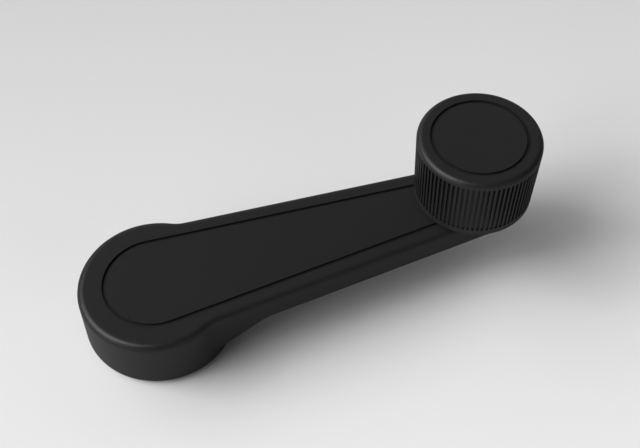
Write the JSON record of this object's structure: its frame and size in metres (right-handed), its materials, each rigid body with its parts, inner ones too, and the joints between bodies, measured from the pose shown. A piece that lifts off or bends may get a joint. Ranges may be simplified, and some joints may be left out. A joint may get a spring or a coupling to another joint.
{
  "type": "crank handle",
  "caption": "Tapered lever crank handle with a round splined hub, flush cover strip and a fluted round knob that turns freely.",
  "frame": {"origin": "on the hub's axis, at the flat base of the hub", "axes": "+X from the hub's axis to the knob's axis, +Z along the hub's axis, outwards from the surface that the hub is screwed to"},
  "size_m": [0.1409, 0.045, 0.0448],
  "materials": {
    "arm_plastic": "fine matt moulding",
    "strip_plastic": "fine matt moulding",
    "knob_plastic": "fine matt moulding",
    "cap_plastic": "fine matt moulding",
    "plate_steel": "zinc plated sheet",
    "insert_steel": "turned and broached",
    "screw_steel": "zinc plated",
    "spring_steel": "blackened spring steel",
    "spindle_steel": "turned",
    "washer_nylon": "natural nylon",
    "bush_brass": "turned"
  },
  "bodies": {
    "arm": {"arm_housing": "arm_plastic", "lever_core": "plate_steel", "drive_insert": "insert_steel", "insert_screw_1": "screw_steel", "insert_screw_2": "screw_steel", "insert_screw_3": "screw_steel", "hub_plain_washer": "screw_steel", "hub_lock_washer": "spring_steel", "hub_screw": "screw_steel", "cover_strip": "strip_plastic", "knob_spindle": "spindle_steel", "spindle_backing_washer": "screw_steel", "lower_thrust_washer": "washer_nylon", "upper_thrust_washer": "washer_nylon", "wave_washer": "spring_steel", "retaining_clip": "spring_steel"},
    "knob": {"knob_shell": "knob_plastic", "knob_bush_lower": "bush_brass", "knob_bush_upper": "bush_brass", "knob_cap": "cap_plastic"}
  },
  "joints": [
    {"name": "knob_spin", "type": "hinge", "parent": "arm", "child": "knob", "pos_m": [0.1, 0, 0.0212], "axis": [0, 0, 1], "continuous": true}
  ]
}
